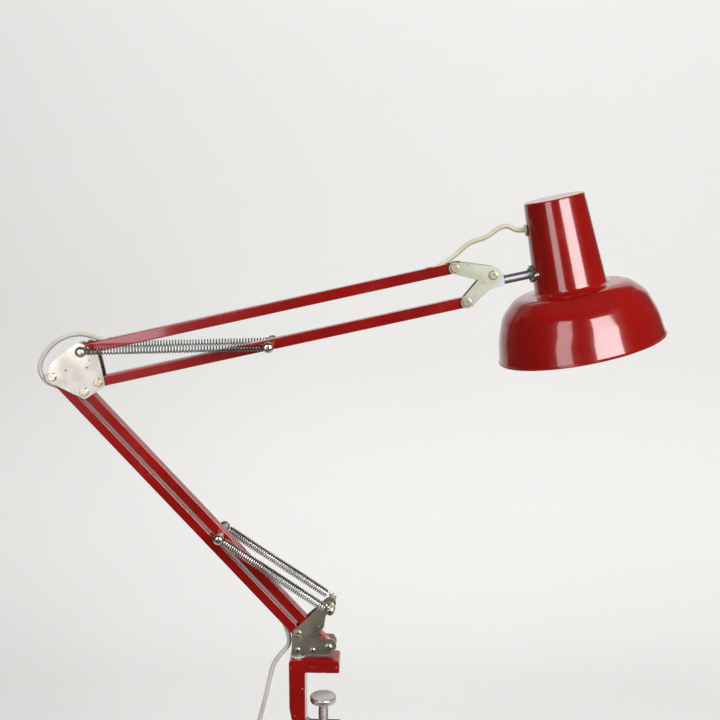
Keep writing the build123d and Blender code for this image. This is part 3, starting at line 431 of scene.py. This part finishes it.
# %% [markdown]
# ## The clamp's screw
# The frame's screw is a plain rod. The real one has a coarse thread, and a thread is one
# more spin: a ridge-shaped section that climbs by one pitch a turn. The rod inside it and
# the barrel that takes the handle are spun from their own outlines.

# %% Threaded screw
def turned_shape(bm, outline, steps=40):
    """A lathe-turned shape about the Z axis, from (radius, height) pairs in millimetres."""
    points = [bm.verts.new((r * MM, 0, z * MM)) for r, z in outline]
    edges = [bm.edges.new(pair) for pair in zip(points, points[1:])]
    bmesh.ops.spin(bm, geom=points + edges, cent=(0, 0, 0), axis=(0, 0, 1), angle=2 * pi, steps=steps, use_merge=True)
    bmesh.ops.remove_doubles(bm, verts=bm.verts, dist=1e-6)


SCREW_FOOT, SCREW_TOP = -127.0, -33.2
HUB_TOP = -113.0
THREAD_PITCH = 2.0
screw_bm = bmesh.new()
turned_shape(screw_bm, [(0, SCREW_TOP), (3.6, SCREW_TOP), (4.3, SCREW_TOP - 0.8), (4.3, HUB_TOP), (7.0, HUB_TOP),
                        (8.0, HUB_TOP - 1.2), (8.0, SCREW_FOOT + 1.2), (7.0, SCREW_FOOT), (0, SCREW_FOOT)])
THREAD_SECTION = ((4.2, 0.1), (4.95, 0.85), (4.95, 1.15), (4.2, 1.9))
section = [screw_bm.verts.new((r * MM, 0, (HUB_TOP + z) * MM)) for r, z in THREAD_SECTION]
thread_turns = int((SCREW_TOP - HUB_TOP - 8.0) / THREAD_PITCH)
loop = [screw_bm.edges.new(pair) for pair in zip(section, section[1:] + section[:1])]
bmesh.ops.spin(screw_bm, geom=section + loop, cent=(0, 0, 0), axis=(0, 0, 1), dvec=(0, 0, THREAD_PITCH * MM / 24),
               angle=2 * pi * thread_turns, steps=24 * thread_turns)
bmesh.ops.holes_fill(screw_bm, edges=[edge for edge in screw_bm.edges if edge.is_boundary], sides=4)
threaded_screw = finish_mesh("threaded_screw", screw_bm, smooth=False)
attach(threaded_screw, "screw")
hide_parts("clamp_screw")
print("thread turns:", thread_turns)

# %% [markdown]
# ## Materials
# Every finish is built from the same few patterns: soft clouds, round specks and a bump. So
# that a sum reads as a sum, a small class stands for a value on its way through the nodes,
# and `+`, `-` and `*` on it add the Math nodes. All other nodes come from one method.
# Colours are shown as they are, with no film-like curve, so that red stays red.

# %% Node helpers
bpy.context.scene.view_settings.view_transform = "Standard"


class Flow:
    """A value on its way through a material."""

    def __init__(self, finish, socket):
        self.finish, self.socket = finish, socket

    def sum(self, operation, first, second):
        return self.finish.node("ShaderNodeMath", {"operation": operation}, {0: first, 1: second})

    def __add__(self, other):
        return self.sum("ADD", self, other)

    def __radd__(self, other):
        return self.sum("ADD", other, self)

    def __sub__(self, other):
        return self.sum("SUBTRACT", self, other)

    def __rsub__(self, other):
        return self.sum("SUBTRACT", other, self)

    def __mul__(self, other):
        return self.sum("MULTIPLY", self, other)

    def __rmul__(self, other):
        return self.sum("MULTIPLY", other, self)


class Finish:
    """One material, with the patterns that the lamp's finishes share."""

    def __init__(self, name, **constants):
        self.material = bpy.data.materials.new(name)
        self.material.use_nodes = True
        self.tree = self.material.node_tree
        self.shader = self.tree.nodes["Principled BSDF"]
        self.place = self.node("ShaderNodeTexCoord", output="Object")
        for socket, value in constants.items():
            self.shader.inputs[socket.replace("_", " ")].default_value = value

    def feed(self, socket, value):
        if isinstance(value, Flow):
            self.tree.links.new(value.socket, socket)
        elif socket.type == "RGBA":
            socket.default_value = (*value, 1.0)
        else:
            socket.default_value = value

    def node(self, kind, settings=None, sockets=None, output=0):
        made = self.tree.nodes.new(kind)
        for name, value in (settings or {}).items():
            setattr(made, name, value)
        for name, value in (sockets or {}).items():
            self.feed(made.inputs[name], value)
        return Flow(self, made.outputs[output])

    def clouds(self, scale, detail=3.0):
        """Soft patches about 1/scale metres wide, from 0 to 1."""
        return self.node("ShaderNodeTexNoise", sockets={"Vector": self.place, "Scale": scale, "Detail": detail},
                         output="Fac")

    def above(self, value, low, high):
        """0 below low, 1 above high, and soft in between."""
        return self.node("ShaderNodeMapRange", {"interpolation_type": "SMOOTHSTEP"},
                         {"Value": value, "From Min": low, "From Max": high})

    def specks(self, scale, size):
        """1 inside scattered round specks, 0 outside."""
        away = self.node("ShaderNodeTexVoronoi", sockets={"Vector": self.place, "Scale": scale}, output="Distance")
        return 1 - self.above(away, size * 0.6, size)

    def tint(self, mask, first, second):
        """The first colour where the mask is 0, the second where it is 1."""
        return self.node("ShaderNodeMix", {"data_type": "RGBA"}, {0: mask, 6: first, 7: second}, output=2)

    def use(self, socket, value):
        self.feed(self.shader.inputs[socket], value)

    def relief(self, height, depth):
        bump = self.node("ShaderNodeBump", sockets={"Height": height, "Distance": depth, "Strength": 1.0},
                         output="Normal")
        self.use("Normal", bump)

# %% [markdown]
# ### Red paint
# The tubes, the clamp and the shade wear the same gloss red. Sprayed paint is never quite
# flat: a fine orange peel softens each reflection. The clamp has been knocked about, so it
# has pale chips, and handling leaves duller patches everywhere.

# %% Paint
RED = (0.30, 0.0035, 0.0015)
DEEP_RED = (0.23, 0.0025, 0.0015)
PRIMER = (0.46, 0.30, 0.27)


def red_paint(name, peel=0.00002, chips=0.0, chip_scale=120.0):
    paint = Finish(name, Specular_IOR_Level=0.2, Coat_Weight=0.7, Coat_Roughness=0.06, IOR=1.5)
    patches = paint.clouds(14.0, 4.0)
    colour = paint.tint(paint.above(patches, 0.35, 0.7), RED, DEEP_RED)
    height = paint.clouds(700.0, 1.0)
    handled = paint.above(paint.clouds(38.0, 5.0), 0.45, 0.75)
    rough = 0.20 + handled * 0.12
    if chips:
        ragged = paint.specks(chip_scale, chips) * paint.above(paint.clouds(420.0, 3.0), 0.44, 0.50)
        knocked = ragged * paint.above(paint.clouds(60.0, 2.0), 0.50, 0.56)
        colour = paint.tint(knocked, colour, PRIMER)
        rough = rough + knocked * 0.35
        height = height - knocked * 4.0
    paint.use("Base Color", colour)
    paint.use("Roughness", rough)
    paint.relief(height, peel)
    return paint


tube_paint = red_paint("red tube paint")
clamp_paint = red_paint("red clamp paint", peel=0.00003, chips=0.25, chip_scale=240.0)

# %% [markdown]
# ### The shade's two sides
# Outside it is red, inside white, on one thin wall. A face belongs to the inside when it
# looks towards the middle of the mouth, and one dot product tells.

# %% Shade enamel
shade_paint = red_paint("red shade enamel", peel=0.00004)
mouth = beside(shade_top, STEM_ANGLE, 0.0, -141.7)
facing = shade_paint.node("ShaderNodeTexCoord", output="Normal")
from_mouth = shade_paint.node("ShaderNodeVectorMath", {"operation": "SUBTRACT"},
                              {0: shade_paint.place, 1: tuple(mouth)})
outward = shade_paint.node("ShaderNodeVectorMath", {"operation": "DOT_PRODUCT"},
                           {0: from_mouth, 1: facing}, output="Value")
outside = shade_paint.above(outward, -0.001, 0.001)
red_side = Flow(shade_paint, shade_paint.shader.inputs["Base Color"].links[0].from_socket)
warm_white = shade_paint.tint(shade_paint.clouds(25.0), (0.82, 0.81, 0.77), (0.74, 0.72, 0.66))
shade_paint.use("Base Color", shade_paint.tint(outside, warm_white, red_side))

# %% [markdown]
# ### Bare metal
# Nickel on the plates has pits where damp got through and smears from hands. Its warm tint
# is partly nickel that has yellowed and partly a painted reflection of warm surroundings.
# The plates wear three copies of the nickel that differ only as painted light and shade: the
# head's copy is darkened as painted shade, the base's is lighter and warmer, and the elbow's
# lies between. The lower springs are bright wire and the upper ones dark, and the stem is
# grey cast zinc with a fine grain.

# %% Metals
def bare_metal(name, light, dark, rough, grain=600.0, depth=0.00002, pits=0.0, pit_scale=170.0):
    metal = Finish(name, Metallic=1.0)
    smears = metal.above(metal.clouds(34.0, 6.0), 0.30, 0.75)
    colour = metal.tint(smears, light, dark)
    height = metal.clouds(grain, 2.0)
    dull = rough + smears * 0.16 + metal.clouds(9.0, 2.0) * 0.06
    if pits:
        pitted = metal.specks(pit_scale, pits) * metal.above(metal.clouds(45.0, 2.0), 0.46, 0.60)
        colour = metal.tint(pitted, colour, (0.16, 0.13, 0.09))
        height = height - pitted * 5.0
        dull = dull + pitted * 0.35
    metal.use("Base Color", colour)
    metal.use("Roughness", dull)
    metal.relief(height, depth)
    return metal


# Three copies of one nickel: the head's is darkened as painted shade, and the base's is lighter and warmer, as painted
# light and painted reflection.
plate_nickel = bare_metal("worn nickel plate", (0.46, 0.45, 0.42), (0.32, 0.31, 0.26), 0.20, pits=0.20)
head_nickel_painted_shade = bare_metal("nickel plate with painted shade", (0.34, 0.355, 0.29), (0.22, 0.23, 0.17), 0.32, pits=0.18)
base_nickel_tarnish_and_reflection = bare_metal("tarnished nickel plate with painted reflection", (0.56, 0.53, 0.42), (0.36, 0.33, 0.24), 0.22, pits=0.18)
fastener_nickel = bare_metal("nickel fasteners", (0.56, 0.52, 0.42), (0.34, 0.30, 0.22), 0.15, pits=0.12, pit_scale=320.0)
spring_steel = bare_metal("bright spring wire", (0.58, 0.57, 0.55), (0.18, 0.175, 0.165), 0.18)
dark_spring_steel = bare_metal("dark spring wire", (0.24, 0.235, 0.23), (0.06, 0.06, 0.055), 0.18)
cast_zinc = bare_metal("cast zinc", (0.34, 0.36, 0.38), (0.24, 0.25, 0.27), 0.32, grain=1500.0, depth=0.00004)
screw_steel = bare_metal("zinc-plated steel", (0.60, 0.60, 0.58), (0.40, 0.38, 0.34), 0.26, pits=0.14, pit_scale=260.0)
strap_steel = bare_metal("strap steel", (0.58, 0.57, 0.54), (0.44, 0.42, 0.38), 0.30)
bulb_cap_metal = bare_metal("bulb cap", (0.74, 0.71, 0.62), (0.56, 0.52, 0.44), 0.24)
pin_brass = bare_metal("plug pins", (0.74, 0.66, 0.46), (0.60, 0.50, 0.30), 0.20)

# %% [markdown]
# ### Plastics, rubber and glass
# These are all one recipe with other numbers: two close colours in soft clouds, a gloss
# that varies a little, and a very fine bump.

# %% Plastics
def plastic(name, first, second, rough, grain=900.0, depth=0.00002, **constants):
    made = Finish(name, **constants)
    patches = made.clouds(30.0, 4.0)
    made.use("Base Color", made.tint(made.above(patches, 0.35, 0.70), first, second))
    made.use("Roughness", rough + made.clouds(70.0, 3.0) * 0.14)
    made.relief(made.clouds(grain, 2.0), depth)
    return made


collar_nylon = plastic("pale collar", (0.66, 0.66, 0.62), (0.54, 0.53, 0.48), 0.38)
bakelite = plastic("black bakelite", (0.020, 0.018, 0.016), (0.035, 0.026, 0.020), 0.14)
switch_plastic = plastic("off-white plastic", (0.76, 0.74, 0.66), (0.70, 0.67, 0.58), 0.26)
rocker_plastic = plastic("rocker", (0.60, 0.58, 0.51), (0.55, 0.52, 0.45), 0.22)
tie_rubber = plastic("tie", (0.045, 0.045, 0.045), (0.070, 0.068, 0.064), 0.50)
lead_pvc = plastic("grey-white cord", (0.60, 0.58, 0.52), (0.50, 0.47, 0.40), 0.36)
ivory_pvc = plastic("ivory cord", (0.64, 0.61, 0.47), (0.52, 0.49, 0.35), 0.34)
opal_glass = plastic("opal glass", (0.90, 0.89, 0.85), (0.86, 0.85, 0.80), 0.12, grain=200.0, depth=0.00001, Coat_Weight=0.5)

# %% [markdown]
# ### Which piece wears what
# The frame's pieces name their finish, so one table dresses all of them, and the new pieces
# take theirs by hand.

# %% Dress the pieces
wardrobe = {
    "tube_red": tube_paint, "clamp_red": clamp_paint, "shade_red": shade_paint,
    "nickel_plate": plate_nickel, "nickel_fastener": fastener_nickel, "spring_steel": spring_steel,
    "zinc": cast_zinc, "screw_steel": screw_steel, "strap_steel": strap_steel,
    "nylon": collar_nylon, "bakelite": bakelite, "bulb_brass": bulb_cap_metal, "bulb_glass": opal_glass,
    "plug_brass": pin_brass, "plug_plastic": switch_plastic, "rocker_plastic": rocker_plastic,
    "tie_plastic": tie_rubber, "head_cord_pvc": ivory_pvc, "cord_pvc": lead_pvc,
}
for part in frame["record"]["subparts"]:
    for worn in frame["nodes"][part["node"]].material_slots:
        worn.material = wardrobe[part["material_slot"]].material
# The base and head plates take their own lighter or darker copy of the nickel, which is painted light and shade.
for place, plate_finish in (("base", base_nickel_tarnish_and_reflection), ("head", head_nickel_painted_shade)):
    for side in ("near", "far"):
        for worn in frame["nodes"][f"{place}_plate_{side}"].material_slots:
            worn.material = plate_finish.material


def dress(finish, *pieces):
    for piece in pieces:
        piece.data.materials.clear()
        piece.data.materials.append(finish.material)


dress(lead_pvc, elbow_cord_rise, elbow_cord_fall, mains_cord_root, mains_lead)
dress(ivory_pvc, head_cord_rise, head_cord_bridge, head_cord_inlet)
dress(spring_steel, lower_coils, lower_anchor_hooks, lower_tail_hooks)
dress(dark_spring_steel, upper_coils, upper_anchor_hooks, upper_tail_hooks)
dress(screw_steel, threaded_screw)
print("finishes:", len(wardrobe))

# %% [markdown]
# ## Floor and light
# A pale sweep runs back and curves up, so there is no line behind the lamp. It is kept small,
# because gloss paint mirrors it and a wide one would wash the red out. The room lights and
# the ceiling light only light the lamp. Two soft windows on the camera's side are only
# mirrored: they are what the round shade shows as two pale bands.

# %% Floor and backdrop
FLOOR_Z = cad_box[0][2] - 0.004
BACK_Y = 1.15
FRONT_Y = -0.40
SWEEP_HALF = 1.05
SWEEP_R = 0.45
sweep_bm = bmesh.new()
front = [sweep_bm.verts.new((x, FRONT_Y, FLOOR_Z)) for x in (-SWEEP_HALF, SWEEP_HALF)]
rim = sweep_bm.edges.new(front)


def pulled(edge, shift):
    """Pulls a new strip out of an edge and returns the strip's far edge."""
    made = bmesh.ops.extrude_edge_only(sweep_bm, edges=[edge])["geom"]
    bmesh.ops.translate(sweep_bm, vec=shift, verts=[item for item in made if isinstance(item, bmesh.types.BMVert)])
    return next(item for item in made if isinstance(item, bmesh.types.BMEdge))


rim = pulled(rim, (0, BACK_Y - SWEEP_R - FRONT_Y, 0))
bend = bmesh.ops.spin(sweep_bm, geom=[rim, *rim.verts], cent=(0, BACK_Y - SWEEP_R, FLOOR_Z + SWEEP_R),
                      axis=(1, 0, 0), angle=radians(90), steps=24)["geom_last"]
pulled(next(item for item in bend if isinstance(item, bmesh.types.BMEdge)), (0, 0, 1.5))
sweep = finish_mesh("sweep", sweep_bm)

paper = Finish("backdrop paper", Roughness=0.9)
paper.use("Base Color", paper.tint(paper.clouds(1.2, 2.0), (0.83, 0.83, 0.82), (0.79, 0.79, 0.78)))
dress(paper, sweep)

# %% Lights
def soft_box(name, place, aim, size, power, colour=(1.0, 1.0, 1.0), lights=True, mirrored=True):
    """A soft rectangular light, which may only light or only be mirrored in gloss."""
    light = bpy.data.lights.new(name, "AREA")
    light.shape = "RECTANGLE"
    light.size, light.size_y = size
    light.energy = power
    light.color = colour
    obj = link(bpy.data.objects.new(name, light))
    obj.location = place
    obj.rotation_euler = (Vector(aim) - Vector(place)).to_track_quat("-Z", "Y").to_euler()
    obj.visible_diffuse = lights
    obj.visible_glossy = mirrored


AIM = (0.15, 0.0, 0.35)
SHADE_AIM = (0.24, 0.0, 0.60)
soft_box("room_light_left", (-1.6, -2.1, 1.3), AIM, (1.2, 1.6), 35.0, (1.0, 0.985, 0.97), mirrored=False)
soft_box("room_light_right", (1.9, -1.9, 1.3), AIM, (1.4, 1.6), 70.0, (1.0, 0.99, 0.98), mirrored=False)
soft_box("ceiling_light", (0.0, 0.1, 2.3), (0, 0.2, 0), (2.4, 1.6), 26.0, mirrored=False)
soft_box("left_window", (-0.85, -1.75, 0.775), SHADE_AIM, (0.75, 1.65), 24.0, (1.0, 0.96, 0.98), lights=False)
soft_box("right_window", (1.15, -1.75, 0.90), SHADE_AIM, (1.35, 1.4), 92.0, (1.0, 0.97, 0.98), lights=False)

# %% [markdown]
# The room behind the camera is dim, which is why the paint stays deep between the bands. Seen
# straight on, though, the room is as pale as the sweep, so that the lamp stands on an even
# ground from every side. The Light Path node tells the two cases apart.

# %% Room
room = bpy.data.worlds.new("room")
room.use_nodes = True
room_nodes, room_links = room.node_tree.nodes, room.node_tree.links
dim = room_nodes["Background"]
pale = room_nodes.new("ShaderNodeBackground")
for background, grey, strength in ((dim, 0.92, 0.09), (pale, 0.90, 0.95)):
    background.inputs["Color"].default_value = (grey, grey, grey, 1.0)
    background.inputs["Strength"].default_value = strength
seen = room_nodes.new("ShaderNodeLightPath")
either = room_nodes.new("ShaderNodeMixShader")
room_links.new(seen.outputs["Is Camera Ray"], either.inputs[0])
room_links.new(dim.outputs[0], either.inputs[1])
room_links.new(pale.outputs[0], either.inputs[2])
room_links.new(either.outputs[0], room_nodes["World Output"].inputs["Surface"])
bpy.context.scene.world = room
print("lights are set")
